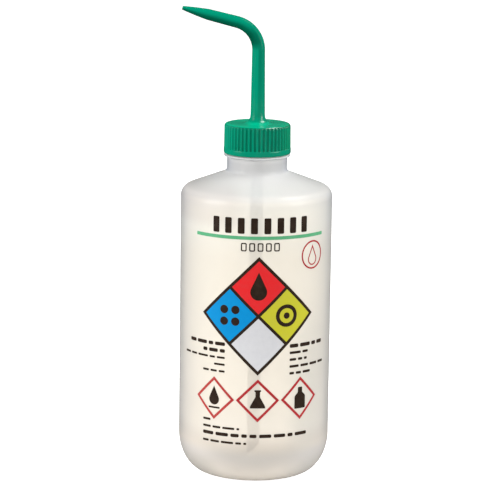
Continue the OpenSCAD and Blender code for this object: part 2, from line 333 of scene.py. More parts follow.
class Nodes:
    """Builds the node tree of a material or world. Wherever a value is taken,
    it may be a plain value or another node's output socket."""

    def __init__(self, owner, output="OutputMaterial"):
        owner.use_nodes = True
        self.owner = owner
        self.tree = owner.node_tree
        self.tree.nodes.clear()
        self.output = self.add(output)

    def add(self, kind, inputs=None, **settings):
        """A node; inputs maps socket names or numbers to values."""
        node = self.tree.nodes.new("ShaderNode" + kind)
        for setting, value in settings.items():
            setattr(node, setting, value)
        for socket, value in (inputs or {}).items():
            self.feed(node.inputs[socket], value)
        return node

    def feed(self, socket, value):
        if isinstance(value, bpy.types.NodeSocket):
            self.tree.links.new(value, socket)
        else:
            socket.default_value = value

    def done(self, shader):
        self.feed(self.output.inputs["Surface"], shader)
        return self.owner

    def coords(self, scale=(1, 1, 1)):
        place = self.add("TexCoord").outputs["Object"]
        return self.add("Mapping", {"Vector": place, "Scale": scale}).outputs["Vector"]

    def split(self, vector):
        return tuple(self.add("SeparateXYZ", {"Vector": vector}).outputs)

    def normal_axes(self):
        return self.split(self.add("NewGeometry").outputs["Normal"])

    def noise(self, vector, scale, detail=3.0, rough=0.5):
        return self.add("TexNoise", {"Vector": vector, "Scale": scale, "Detail": detail,
                                     "Roughness": rough}).outputs["Fac"]

    def span(self, value, over, to=(0.0, 1.0), kind="LINEAR"):
        """Maps the range `over` onto the range `to`."""
        return self.add("MapRange", {
            "Value": value, "From Min": over[0], "From Max": over[1],
            "To Min": to[0], "To Max": to[1]}, interpolation_type=kind).outputs["Result"]

    def fade(self, value, over, to=(0.0, 1.0)):
        """As span, easing in and out."""
        return self.span(value, over, to, "SMOOTHSTEP")

    def ramp(self, value, stops, kind="LINEAR"):
        """Colour by value; stops are (position, colour or grey)."""
        node = self.add("ValToRGB", {"Fac": value})
        node.color_ramp.interpolation = kind
        elements = node.color_ramp.elements
        while len(elements) > 1:
            elements.remove(elements[-1])
        elements[0].position = stops[0][0]
        elements[0].color = rgba(stops[0][1])
        for position, colour in stops[1:]:
            elements.new(position).color = rgba(colour)
        return node.outputs["Color"]

    def calc(self, operation, *operands):
        return self.add("Math", dict(enumerate(operands)), operation=operation).outputs["Value"]

    def times(self, first, second):
        return self.calc("MULTIPLY", first, second)

    def length(self, across, along):
        squares = (self.times(across, across), self.times(along, along))
        return self.calc("SQRT", self.calc("ADD", *squares))

    def mix(self, factor, first, second, blend="MIX"):
        # sockets 0, 6 and 7 are the factor and colours A and B; output 2 is the colour
        return self.add("Mix", {0: factor, 6: rgba(first), 7: rgba(second)},
                        data_type="RGBA", blend_type=blend).outputs[2]

    def tint(self, factor, colour, by):
        return self.mix(factor, colour, by, "MULTIPLY")

    def bump(self, height, strength, distance, normal=None):
        """distance is in millimetres."""
        inputs = {"Height": height, "Strength": strength, "Distance": distance * MM}
        if normal is not None:
            inputs["Normal"] = normal
        return self.add("Bump", inputs).outputs["Normal"]

    def principled(self, **values):
        inputs = {name.replace("_", " "): value for name, value in values.items()}
        return self.add("BsdfPrincipled", inputs).outputs["BSDF"]

    def mix_shader(self, factor, first, second):
        return self.add("MixShader", {0: factor, 1: first, 2: second}).outputs["Shader"]


# ---------------------------------------------------------------------------
# Materials
# ---------------------------------------------------------------------------
# (height in mm, sRGB tone). The wall's cream colour carries painted shade
# and light by height: a greyer heel, shoulder and neck, and a lighter band
# under the bead painted against its shadow.
WALL_TONE_AND_SHADE = [
    (0.0, (232, 224, 212)), (6.0, (230, 223, 214)), (14.0, (228, 222, 216)),
    (20.0, (239, 230, 218)), (31.0, (249, 242, 230)), (110.0, (251, 245, 233)),
    (134.5, (255, 252, 243)), (140.5, (253, 250, 243)), (142.6, (240, 239, 236)),
    (145.0, (229, 230, 229)), (151.0, (229, 230, 231)), (156.2, (229, 229, 230)),
    (158.2, (243, 243, 244)), (160.5, (243, 243, 244)), (163.0, (228, 229, 230)),
    (172.4, (228, 229, 230))]
# the tube seen through the wall, with painted shade that deepens towards its foot
TUBE_TONE_AND_SHADE = [
    (0.0, (108, 114, 124)), (30.0, (124, 130, 142)), (90.0, (162, 168, 178)),
    (128.0, (196, 199, 204)), (138.0, (204, 206, 211)), (146.0, (216, 218, 222)),
    (151.0, (244, 245, 247)), (172.4, (252, 253, 254))]

# (how far the surface turns from the eye, 0 to 1, and the painted shade there)
RIM_SHADE_TINTS = [
    (0.00, 1.0), (0.14, 0.985), (0.33, (0.875, 0.88, 0.89)), (0.45, (0.80, 0.81, 0.83)),
    (0.57, (0.72, 0.735, 0.77)), (0.70, (0.62, 0.64, 0.69)), (0.82, (0.56, 0.59, 0.645)),
    (1.00, (0.54, 0.57, 0.63))]
# (place from left to right, tint): painted light and shade across the neck,
# painted light at the sides of the cap's skirt
NECK_LIGHT_AND_SHADE = [(0.04, 0.95), (0.24, 0.87), (0.40, 0.99), (0.86, 1.0), (0.95, (1.14, 1.14, 1.13))]
SKIRT_SIDE_LIGHT = [(0.06, (1.0, 1.30, 1.34)), (0.20, 1.02), (0.80, 1.04), (0.94, (1.0, 1.22, 1.08))]
# (way the surface faces, from -X at 0 to +X at 1, and tint): painted light
# where the stem faces a little to the left
STEM_SIDE_LIGHT = [(0.18, 1.0), (0.31, 1.06), (0.43, 1.17), (0.53, 1.0), (1.00, 1.0)]
# (way the surface faces, from down at 0 to up at 1, and tint): painted shade
# on the undersides of bend and spout
SPOUT_UNDER_SHADE = [
    (0.00, (0.5, 0.42, 0.40)), (0.29, (0.5, 0.46, 0.44)), (0.40, (0.6, 0.56, 0.54)),
    (0.50, 0.77), (0.65, 1.0), (1.00, 1.0)]


def painted_rim_shade(nodes, facing, z):
    """Painted shade: the wall greyed by viewing angle."""
    rim_shade = nodes.ramp(facing, RIM_SHADE_TINTS)
    # faces turned up, and the heel with light from the table, lose less light
    up = nodes.fade(nodes.normal_axes()[2], over=(0.25, 0.95), to=(0.0, 0.85))
    low = nodes.fade(z, over=mm(26, 12), to=(0.0, 0.5))
    rim_shade = nodes.mix(nodes.calc("MAXIMUM", up, low), rim_shade, 1.0)
    # painted shade: the middle of the heel, in front of the base, is darkened
    base = nodes.times(nodes.fade(facing, over=(0.42, 0.12)),
                       nodes.times(nodes.fade(z, over=mm(27, 17)),
                                   nodes.fade(z, over=mm(1, 7))))
    return nodes.mix(base, rim_shade, (0.79, 0.80, 0.81))


def painted_wall_shade(nodes, colour, x, z):
    """Painted shade: darker patches on the lower right of the wall and the left
    of heel and shoulder; painted light and shade across the neck.
    """
    # right side, lower half
    shade_patch = nodes.times(nodes.times(nodes.fade(x, over=mm(12, 26)),
                                    nodes.fade(x, over=mm(27, 36), to=(1.0, 0.25))),
                        nodes.fade(z, over=mm(100, 45)))
    colour = nodes.tint(shade_patch, colour, by=(0.87, 0.89, 0.91))
    # left side of the heel
    shade_patch = nodes.times(nodes.fade(x, over=mm(-14, -26)), nodes.fade(z, over=mm(18, 6)))
    colour = nodes.tint(shade_patch, colour, by=(0.87, 0.88, 0.88))
    # left side of the shoulder
    shade_patch = nodes.times(nodes.times(nodes.fade(x, over=mm(0, -14)),
                                    nodes.fade(z, over=mm(126, 133))),
                        nodes.fade(z, over=mm(149, 144)))
    colour = nodes.tint(shade_patch, colour, by=(0.91, 0.885, 0.885))
    # painted light and shade across the neck, lighter at the right
    neck = nodes.fade(z, over=mm(149.5, 152.5))
    across = nodes.ramp(nodes.span(x, over=mm(-16.5, 16.5)), NECK_LIGHT_AND_SHADE)
    return nodes.tint(neck, colour, by=across)


def polyethylene(name, see_through, tones_and_shade, edge_share=0.25, specular=0.5):
    """Natural polyethylene: a milky wall that lets light and a little of what
    is behind it through; painted shade greys it where the eye meets it at a
    shallow angle, and its tones carry painted shade and light by height.
    see_through is the clear share face on, edge_share what is left of it at
    the edge."""
    nodes = Nodes(bpy.data.materials.new(name))
    place = nodes.coords()
    x, _, z = nodes.split(place)
    top = tones_and_shade[-1][0]
    # tones by height, with painted shade and light
    tone = nodes.ramp(nodes.span(z, over=mm(0, top)),
                      [(height / top, srgb(*colour)) for height, colour in tones_and_shade], "EASE")
    cloud = nodes.noise(place, scale=26.0, rough=0.55)
    tone = nodes.tint(1.0, tone, by=nodes.ramp(cloud, [(0.25, 0.97), (0.75, 1.0)]))
    facing = nodes.add("LayerWeight", {"Blend": 0.5}).outputs["Facing"]
    # painted shade by viewing angle and in patches
    colour = nodes.tint(1.0, tone, by=painted_rim_shade(nodes, facing, z))
    colour = painted_wall_shade(nodes, colour, x, z)
    fine = nodes.noise(place, scale=900.0, detail=2.0, rough=0.6)
    wave = nodes.noise(place, scale=55.0, detail=2.0, rough=0.4)
    normal = nodes.bump(fine, strength=0.035, distance=0.1,
                        normal=nodes.bump(wave, strength=0.08, distance=1.2))
    rough = nodes.span(nodes.noise(place, scale=240.0), over=(0.3, 0.7), to=(0.205, 0.265))
    surface = nodes.principled(Base_Color=colour, Roughness=rough, IOR=1.5, Normal=normal,
                               Specular_IOR_Level=specular)
    glow = nodes.add("BsdfTranslucent", {"Color": colour, "Normal": normal}).outputs["BSDF"]
    milk = nodes.mix_shader(0.35, surface, glow)
    clear = nodes.add("BsdfTransparent", {"Color": rgba((0.97, 0.965, 0.95))}).outputs["BSDF"]
    share = nodes.span(facing, over=(0.0, 0.8), to=(see_through, see_through * edge_share))
    return nodes.done(nodes.mix_shader(share, milk, clear))


def green_cap(nodes, colour, x, z, radius, normal_z):
    """Painted shade and light on the cap: shade in the grooves, light at the
    skirt's sides and on the flat top.
    """
    skirt = nodes.times(
        nodes.span(z, over=mm(BAND_TOP_Z, BAND_TOP_Z + 0.4)),
        nodes.span(z, over=mm(CAP_TOP_Z + 0.1, CAP_TOP_Z + 0.6), to=(1.0, 0.0)))
    # painted shade: the grooves between the ribs are darkened
    groove_shade = nodes.times(nodes.fade(radius, over=mm(16.46, 16.05)),
                       nodes.times(nodes.span(radius, over=mm(15.2, 15.7)), skirt))
    colour = nodes.tint(groove_shade, colour, by=(0.3, 0.74, 0.72))
    # painted light at the left and right sides of the skirt
    side_light = nodes.ramp(nodes.span(x, over=mm(-16.6, 16.6)), SKIRT_SIDE_LIGHT)
    outside = nodes.times(skirt, nodes.span(radius, over=mm(15.0, 15.4)))
    colour = nodes.tint(outside, colour, by=side_light)
    # painted light: the flat top is lightened, as if lit from above
    top = nodes.times(nodes.fade(normal_z, over=(0.55, 0.95)),
                      nodes.times(nodes.span(z, over=mm(173.5, 174.9)),
                                  nodes.span(z, over=mm(175.4, 177.2), to=(1.0, 0.0))))
    return nodes.tint(top, colour, by=(1.0, 1.75, 1.65))


def green_stem(nodes, colour, z, normal_x):
    """Painted light and shade on the stem: lighter where it faces a little left,
    darker where it faces away from the spout, the more so higher up.
    """
    stem = nodes.times(nodes.fade(z, over=mm(178, 184)),
                       nodes.fade(z, over=mm(210.8, 212.8), to=(1.0, 0.0)))
    # painted light where the stem faces a little to the left
    turn = nodes.span(normal_x, over=(-1.0, 1.0))
    colour = nodes.tint(stem, colour, by=nodes.ramp(turn, STEM_SIDE_LIGHT, "EASE"))
    # painted shade where the stem faces away from the spout
    away_shade = nodes.times(nodes.times(stem, nodes.span(z, over=mm(180, 211), to=(0.12, 1.0))),
                       nodes.fade(normal_x, over=(-0.12, 0.18)))
    return nodes.tint(away_shade, colour, by=0.80)


def green_spout(nodes, colour, x, z, normal_z):
    """Painted shade on bend and spout: the underside and the hollow of the bend
    are darkened.
    """
    high = nodes.fade(z, over=mm(210.8, 213.5))
    # painted shade on the undersides
    under = nodes.ramp(nodes.span(normal_z, over=(-1.0, 1.0)), SPOUT_UNDER_SHADE)
    colour = nodes.tint(high, colour, by=under)
    # distance and angle round the centre of the bend
    from_x = nodes.calc("ADD", x, BEND_R * MM)
    from_z = nodes.calc("SUBTRACT", z, BEND_Z * MM)
    distance = nodes.length(from_x, from_z)
    angle = nodes.calc("ARCTAN2", from_z, from_x)
    # painted shade in the hollow of the bend
    hollow = nodes.times(nodes.times(nodes.fade(angle, over=(0.09, 0.34)),
                                     nodes.fade(angle, over=(0.55, 1.05), to=(1.0, 0.0))),
                         nodes.fade(distance, over=mm(14.8, 16.8), to=(1.0, 0.3)))
    return nodes.tint(nodes.times(hollow, high), colour, by=(0.5, 0.66, 0.65))


def green_gloss(nodes, x, z, radius):
    """Specular level: high on the right of the cap's upper edge and the stem's
    foot, duller up the stem and spout and to the left."""
    gloss = nodes.fade(z, over=mm(181, 193), to=(0.30, 0.06))
    gloss = nodes.times(gloss, nodes.span(x, over=mm(-2, 1), to=(0.35, 1.0)))
    edge = nodes.times(nodes.times(nodes.span(z, over=mm(173.5, 174.0)),
                                   nodes.span(z, over=mm(175.2, 175.6), to=(1.0, 0.0))),
                       nodes.times(nodes.span(radius, over=mm(14.6, 15.0)),
                                   nodes.span(x, over=mm(0, 6))))
    foot = nodes.times(nodes.times(nodes.span(z, over=mm(175.7, 176.3)),
                                   nodes.span(z, over=mm(178.5, 181.5), to=(1.0, 0.0))),
                       nodes.span(x, over=mm(0.5, 1.5)))
    foot_share, extra_gloss = 0.45, 0.7
    extra = nodes.calc("MAXIMUM", edge, nodes.times(foot, foot_share))
    return nodes.calc("ADD", gloss, nodes.times(extra, extra_gloss))


def green_plastic():
    """Injection-moulded green polypropylene, semi-gloss."""
    nodes = Nodes(bpy.data.materials.new("closure_green"))
    place = nodes.coords()
    flow = nodes.noise(nodes.coords((1, 1, 0.35)), scale=60.0)
    colour = nodes.ramp(flow, [(0.25, srgb(0, 126, 97)), (0.75, srgb(0, 131, 102))])
    x, y, z = nodes.split(place)
    radius = nodes.length(x, y)
    normal_x, _, normal_z = nodes.normal_axes()
    # painted light and shade on cap, stem and spout
    colour = green_cap(nodes, colour, x, z, radius, normal_z)
    colour = green_stem(nodes, colour, z, normal_x)
    colour = green_spout(nodes, colour, x, z, normal_z)
    gloss = green_gloss(nodes, x, z, radius)
    fine = nodes.noise(place, scale=1400.0, detail=2.0, rough=0.55)
    wave = nodes.noise(place, scale=160.0, detail=2.0)
    normal = nodes.bump(fine, strength=0.035, distance=0.1,
                        normal=nodes.bump(wave, strength=0.02, distance=0.6))
    rough = nodes.span(nodes.noise(place, scale=420.0), over=(0.3, 0.7), to=(0.16, 0.23))
    return nodes.done(nodes.principled(Base_Color=colour, Roughness=rough, IOR=1.49,
                                       Normal=normal, Specular_IOR_Level=gloss))


def ink(name, colour, uneven, line_tints=None):
    """A dried screen-print ink film: satin, with mesh texture and faint
    unevenness in its cover. line_tints: tints at the left and at the right for
    the thin lines under and to the right of the large sign."""
    nodes = Nodes(bpy.data.materials.new(name))
    place = nodes.coords()
    cover = nodes.noise(place, scale=320.0, detail=4.0, rough=0.65)
    base = nodes.ramp(cover, [(0.25, srgb(*uneven)), (0.6, srgb(*colour))])
    if line_tints:
        x, _, z = nodes.split(place)
        thin = nodes.calc("MAXIMUM", nodes.span(z, over=mm(66, 60)),
                          nodes.span(x, over=mm(16.5, 17.5)))
        tint = nodes.mix(nodes.span(x, over=mm(-13, -9)), *line_tints)
        base = nodes.tint(thin, base, by=tint)
    weave = nodes.noise(place, scale=2600.0, detail=1.0)
    normal = nodes.bump(weave, strength=0.15, distance=0.06)
    rough = nodes.span(nodes.noise(place, scale=700.0, detail=2.0),
                       over=(0.3, 0.7), to=(0.35, 0.49))
    return nodes.done(nodes.principled(Base_Color=base, Roughness=rough, IOR=1.5,
                                       Normal=normal, Specular_IOR_Level=0.1))


MAT_WALL = polyethylene("wall_outside", see_through=0.27, tones_and_shade=WALL_TONE_AND_SHADE)
MAT_WALL_IN = polyethylene("wall_inside", see_through=0.86, tones_and_shade=WALL_TONE_AND_SHADE,
                           edge_share=1.0, specular=0.0)
MAT_TUBE = polyethylene("tube_plastic", see_through=0.12, tones_and_shade=TUBE_TONE_AND_SHADE, specular=0.2)
MAT_GREEN = green_plastic()
# sRGB of the full ink and of its uneven places
INK = {
    "black": ink("ink_black", (42, 30, 22), (54, 42, 33)),
    "red": ink("ink_red", (214, 37, 40), (207, 45, 48),
               line_tints=((0.60, 2.3, 1.9), (0.54, 1.15, 1.2))),
    "blue": ink("ink_blue", (0, 133, 195), (0, 128, 189)),
    "yellow": ink("ink_yellow", (186, 183, 46), (182, 178, 55)),
    "white": ink("ink_white", (197, 197, 199), (192, 192, 195)),
    "green": ink("ink_green", (84, 162, 116), (98, 168, 126)),
}


# ---------------------------------------------------------------------------
# Bottle: up the outside from the centre of the base and down the inside
# ---------------------------------------------------------------------------
def base_outside():
    """Hollow underside, from near its centre to the standing ring."""
    points = []
    for i in range(1, 17):
        share = i / 16
        rise = PUSH_UP * (1 - smoothstep((share - 0.62) / 0.38))
        sag = HOLLOW_SAG * math.sin(math.pi * min(1, share / 0.7))
        points.append((HOLLOW_R * share, max(0.0, rise - sag)))
    return points + [(RING_IN_R, 0.0)]


def base_inside():
    """Inner face of the base, from its rim to near its centre."""
    return [(24.0 * i / 12, BASE_THICKNESS + PUSH_UP * (1 - smoothstep((i / 12 - 0.6) / 0.38)))
            for i in range(11, 0, -1)]


def neck_and_bead():
    bead_centre_r, bead_top = BEAD_R - BEAD_ROUND, BEAD_Z + BEAD_H
    corner_z = BEAD_Z - NECK_CORNER
    return (upright(NECK_R, NECK_FOOT_Z, corner_z, 6)
            + arc(NECK_R + NECK_CORNER, corner_z, NECK_CORNER, 180, 90, 3, skip=1)
            + arc(bead_centre_r, BEAD_Z + BEAD_ROUND, BEAD_ROUND, -90, 0, 5)
            + arc(bead_centre_r, bead_top - BEAD_ROUND, BEAD_ROUND, 0, 90, 5)
            + [((BEAD_R + ROOT_R) / 2, bead_top), (ROOT_R, bead_top)])


def bottle_inside():
    """Mouth, neck, shoulder, wall and base, from the lip down."""
    wall_r, wall_top = BODY_R - WALL, WALL_TOP_Z - 0.6
    neck_r = NECK_R - NECK_WALL
    heel_h, ring_r = HEEL_H - 1, RING_R - 1
    inner_shoulder = shoulder(wall_r, neck_r, SHOULDER_R - 1, NECK_FILLET + 1, wall_top)
    return (arc(MOUTH_R + LIP_IN, MOUTH_Z - LIP_IN, LIP_IN, 90, 180, 4)
            + upright(MOUTH_R, MOUTH_Z - LIP_IN, BEAD_Z + 1.2, 5)
            + [(neck_r, BEAD_Z - 1)]
            + inner_shoulder[::-1]
            + upright(wall_r, wall_top, BASE_THICKNESS + heel_h, 20)[:-1]
            + heel(ring_r, BASE_THICKNESS, wall_r - ring_r, heel_h, 24)[::-1]
            + base_inside())


def bottle():
    shell = Shell()
    shell.ring([(0, 0, PUSH_UP)])
    outside = (base_outside()
               + heel(RING_R, 0, BODY_R - RING_R, HEEL_H, 30)
               + upright(BODY_R, HEEL_H, WALL_TOP_Z, 36)[:-1]
               + shoulder(BODY_R, NECK_R, SHOULDER_R, NECK_FILLET, WALL_TOP_Z)
               + neck_and_bead())
    shell.turned(outside, BOTTLE_RING)
    shell.turned(upright(ROOT_R, BEAD_Z + BEAD_H, MOUTH_Z - LIP_OUT, 66), BOTTLE_RING,
                 threaded(CREST_R - ROOT_R, THREAD_Z))
    shell.turned(arc(ROOT_R - LIP_OUT, MOUTH_Z - LIP_OUT, LIP_OUT, 0, 90, 5, skip=1),
                 BOTTLE_RING)
    shell.slot = 1
    shell.turned(bottle_inside(), BOTTLE_RING)
    shell.ring([(0, 0, PUSH_UP + BASE_THICKNESS)])
    piece = shell.close("bottle_shell", [MAT_WALL, MAT_WALL_IN])
    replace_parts(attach(piece, "bottle"), "bottle")


# ---------------------------------------------------------------------------
# Closure: one closed mesh whose rings run from the tip of the spout down the
# outside and back up the inside
# ---------------------------------------------------------------------------
# (radius, z) of the underside of the top, plug ring, boss and socket
CAP_UNDERSIDE = [
    (12.2, PLATE_Z), (PLUG_R + 0.2, PLATE_Z), (PLUG_R, PLATE_Z - 0.2),
    (PLUG_R, PLATE_Z - 2.2), (PLUG_R - 0.35, PLATE_Z - 3.0),
    (PLUG_R - 0.8, PLATE_Z - 3.0), (PLUG_R - 1, PLATE_Z - 2.8),
    (PLUG_R - 1, PLATE_Z - 0.3), (PLUG_R - 1.3, PLATE_Z),
    (BOSS_R + 0.4, PLATE_Z), (BOSS_R, PLATE_Z - 0.4),
    (BOSS_R, BOSS_Z + 4), (BOSS_R, BOSS_Z + 0.3), (BOSS_R - 0.3, BOSS_Z),
    (SOCKET_R + 0.3, BOSS_Z), (SOCKET_R, BOSS_Z + 0.3),
    (SOCKET_R, BOSS_Z + 5), (SOCKET_R, PLATE_Z - 0.1),
    (SOCKET_R - 0.1, PLATE_Z), (BORE_R + 0.1, PLATE_Z)]


def spine(distance):
    """Point on the centre line and the two directions across it."""
    side = Vector((0, 1, 0))
    if distance <= BEND_Z:
        return Vector((0, 0, distance)), Vector((1, 0, 0)), side
    angle = min(distance, BEND_END) - BEND_Z
    angle /= BEND_R
    out = Vector((math.cos(angle), 0, math.sin(angle)))
    point = Vector((-BEND_R, 0, BEND_Z)) + out * BEND_R
    if distance > BEND_END:
        point += Vector((-math.sin(angle), 0, math.cos(angle))) * (distance - BEND_END)
    return point, out, side


def outer_radius(distance):
    """Outer radius of stem, bend, spout and tip."""
    if distance <= BEND_Z:
        share = (distance - CAP_TOP_Z) / (BEND_Z - CAP_TOP_Z)
        return between(STEM_R, BEND_TUBE_R, share)
    if distance <= BEND_END:
        share = smoothstep((distance - BEND_Z) / (BEND_END - BEND_Z))
        return between(BEND_TUBE_R, SPOUT_FOOT_R, share)
    if distance <= TIP_FOOT:
        return between(SPOUT_FOOT_R, SPOUT_R, (distance - BEND_END) / (TIP_FOOT - BEND_END))
    share = (distance - TIP_FOOT) / TIP_L
    return between(SPOUT_R, TIP_R, share - TIP_HOLLOW * math.sin(math.pi * share))


def around(shell, distance, radius):
    """A ring square to the centre line."""
    point, out, side = spine(distance)
    angles = [TAU * i / STEM_RING for i in range(STEM_RING)]
    shell.ring([tuple(point + (out * math.cos(angle) + side * math.sin(angle)) * radius)
                for angle in angles])


def ribbed(angle, radius, z):
    """Ring shape: the radius cut by the finger grooves, which end at the band."""
    offset = (angle / TAU * GROOVES + 0.5) % 1.0 - 0.5
    across = abs(offset) * TAU * RIB_R / GROOVES
    groove = 99.0
    if across < GROOVE_R:
        groove = RIB_R + GROOVE_OUT - math.sqrt(GROOVE_R * GROOVE_R - across * across)
    groove += 1.5 * (1 - smoothstep((z - BAND_TOP_Z - 0.05) / 0.3))
    share = clamp(0.5 + 0.5 * (groove - radius) / GROOVE_SOFT)
    return between(groove, radius, share) - GROOVE_SOFT * share * (1 - share)


def spout_outside(shell):
    """Tip, spout, bend and stem, down to the fillet at the stem's foot."""
    for radius, back in ((TIP_R - 0.18, 0.0), (TIP_R - 0.05, 0.05), (TIP_R, TIP_ROUND)):
        around(shell, TIP_END - back, radius)
    foot = CAP_TOP_Z + STEM_FILLET
    for distance in (steps(TIP_END - TIP_ROUND, TIP_FOOT, 26)
                     + steps(TIP_FOOT, BEND_END, 14)
                     + steps(BEND_END, BEND_Z, 40)
                     + steps(BEND_Z, foot, 30)[:-1]):
        around(shell, distance, outer_radius(distance))
    around(shell, foot, STEM_R)
    shell.turned(arc(STEM_R + STEM_FILLET, foot, STEM_FILLET, 180, 270, 12, skip=1), STEM_RING)


def cap_outside(shell):
    """Flat top, ribbed skirt and plain band."""
    shell.turned([(8.5, CAP_TOP_Z), (12.0, CAP_TOP_Z)], STEM_RING)
    edge_z = CAP_TOP_Z - CAP_ROUND
    ribs = arc(RIB_TOP_R - CAP_ROUND, edge_z, CAP_ROUND, 90, 0, 14)
    for z in steps(edge_z, BAND_TOP_Z + 0.5, 18):
        share = (z - BAND_TOP_Z) / (edge_z - BAND_TOP_Z)
        ribs.append((between(RIB_R, RIB_TOP_R, share), z))
    ribs += [(RIB_R, BAND_TOP_Z + above) for above in (0.38, 0.30, 0.22, 0.14, 0.06)]
    shell.turned(ribs, RIB_RING, ribbed)
    band_z, foot_z = BAND_TOP_Z - BAND_EDGE, SKIRT_Z + SKIRT_ROUND
    band = [(RIB_R + 0.02, BAND_TOP_Z + 0.01), (BAND_R - 0.03, BAND_TOP_Z - 0.02),
            (BAND_R, band_z)]
    band += upright(BAND_R, band_z, foot_z, 4)
    band += arc(BAND_R - SKIRT_ROUND, foot_z, SKIRT_ROUND, 0, -90, 8, skip=1)
    shell.turned(band, RIB_RING)


def cap_inside(shell):
    """Inside of the skirt with its thread, then the underside of the top."""
    shell.turned([(CAP_ROOT_R + 0.3, SKIRT_Z), (CAP_ROOT_R, SKIRT_Z + 0.3)], RIB_RING)
    shell.turned(upright(CAP_ROOT_R, SKIRT_Z + 0.3, PLATE_Z - 0.2, 58), RIB_RING,
                 threaded(CAP_CREST_R - CAP_ROOT_R, CAP_THREAD_Z))
    shell.turned([(CAP_ROOT_R - 0.2, PLATE_Z)], RIB_RING)
    shell.turned(CAP_UNDERSIDE, STEM_RING)


def bore(shell):
    """From the socket up to the orifice in the tip."""
    foot = PLATE_Z + 0.1
    for distance in ([foot] + steps(foot, BEND_Z, 8) + steps(BEND_Z, BEND_END, 24)
                     + steps(BEND_END, TIP_FOOT, 6)):
        around(shell, distance, BORE_R)
    for distance, radius in zip(steps(TIP_FOOT, TIP_END - ORIFICE_L, 8),
                                steps(BORE_R, ORIFICE_R, 8)):
        around(shell, distance, radius)
    around(shell, TIP_END - 0.1, ORIFICE_R)
    around(shell, TIP_END, ORIFICE_R + 0.1)


def closure():
    shell = Shell()
    spout_outside(shell)
    cap_outside(shell)
    cap_inside(shell)
    bore(shell)
    piece = shell.close("closure_and_spout", [MAT_GREEN], loop=True)
    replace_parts(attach(piece, "closure"), "closure")


# ---------------------------------------------------------------------------
# Draw tube; its slanted lower end is lowest on the left (-X)
# ---------------------------------------------------------------------------
def draw_tube():
    shell = Shell()

    def ring(radius, share):
        """share runs from 0 at the cut to 1 at the top."""
        points = []
        for i in range(TUBE_RING):
            x = radius * math.cos(TAU * i / TUBE_RING)
            y = radius * math.sin(TAU * i / TUBE_RING)
            low = TUBE_FOOT_Z + (x + TUBE_R) * math.tan(TUBE_CUT)
            points.append((x, y, between(low, TUBE_TOP_Z, share)))
        shell.ring(points)

    shares = [0.0, 0.004, 0.02] + steps(0.02, 0.998, 24)
    for share in shares:
        ring(TUBE_R, share)
    ring(TUBE_R - 0.15, 1.0)
    ring(TUBE_BORE_R + 0.1, 1.0)
    for share in reversed(shares):
        ring(TUBE_BORE_R, share)
    piece = shell.close("draw_tube_body", [MAT_TUBE], loop=True)
    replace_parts(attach(piece, "draw_tube"), "draw_tube")


# ---------------------------------------------------------------------------
# Print: flat outlines of (across, z), with across measured round the wall from
# the front, filled, cut into strips, wrapped on the wall and given thickness
# ---------------------------------------------------------------------------
INK_RISE, INK_SINK = 0.06, 0.012         # film above and below the wall's surface

# the large sign: a diamond holding four small ones
SIGN_ACROSS, SIGN_Z = 1.7, 85.7
SIGN_H = 29.5                            # centre to corner
SIGN_LINE = 1.5
QUARTER_SIDE = SIGN_H * math.sqrt(2) / 2 - 1.5 * SIGN_LINE
QUARTER_H = QUARTER_SIDE / math.sqrt(2)
QUARTER_OFFSET = (QUARTER_SIDE + SIGN_LINE) / math.sqrt(2)

# the row of three small outlined diamonds
MARK_ACROSS, MARK_Z = SIGN_ACROSS + 0.2, 43.5
MARK_H, MARK_LINE, MARK_PITCH = 10.8, 1.8, 22.4

# the ring with a drop, at the upper right
RING_ACROSS, RING_Z = 31.0, 114.5

# rows of dashes beside the sign: (left length, left height, right length, right height)
SIDE_ROWS = [(21.9, 1.75, 21.7, 1.85), (12.6, 1.75, 11.0, 1.26), (26.5, 1.02, 10.4, 1.26),
             (5.9, 1.02, 23.2, 1.26), (12.6, 1.02, 12.7, 1.26)]
SIDE_PITCH = 3.43
LEFT_END, LEFT_Z = -14.8, 71.0
RIGHT_START, RIGHT_Z = 17.9, 70.25

# rows of dashes below the diamonds: (length, z, height, gap)
LOW_ROWS = [(4.5, 32.4, 1.1, 1.1), (20.0, 28.9, 1.1, 1.1), (55.6, 25.6, 1.7, 1.3),
            (23.6, 21.7, 1.1, 1.1)]
LOW_START = -27.0

# right halves of two vessels, (across, up) as shares of the height
FLASK_HALF = [(0.42, 0), (0.40, 0.12), (0.12, 0.62), (0.12, 0.90), (0.18, 0.92), (0.18, 1)]
JAR_HALF = [(0.3, 0), (0.3, 0.58), (0.12, 0.76), (0.12, 1)]
DROP_POINT = 2.4                         # a drop's point above its centre, in radii


def diamond(across, z, half):
    return [(across, z + half), (across - half, z), (across, z - half), (across + half, z)]


def disc(across, z, radius, count=64):
    return [(across + radius * math.cos(TAU * i / count), z + radius * math.sin(TAU * i / count))
            for i in range(count)]


def drop(across, z, radius):
    tangent, count = math.acos(1 / DROP_POINT), 56
    points = [(across, z + DROP_POINT * radius)]
    for i in range(count + 1):
        angle = math.pi / 2 + tangent + (TAU - 2 * tangent) * i / count
        points.append((across + radius * math.cos(angle), z + radius * math.sin(angle)))
    return points


def bar(start, end, z, height, radius):
    """Bar from start to end with rounded corners."""
    radius = min(radius, height / 2 - 1e-3, (end - start) / 2 - 1e-3)
    left, right = start + radius, end - radius
    low, high = z - height / 2 + radius, z + height / 2 - radius
    return (arc(right, high, radius, 0, 90, 5) + arc(left, high, radius, 90, 180, 5)
            + arc(left, low, radius, 180, 270, 5) + arc(right, low, radius, 270, 360, 5))


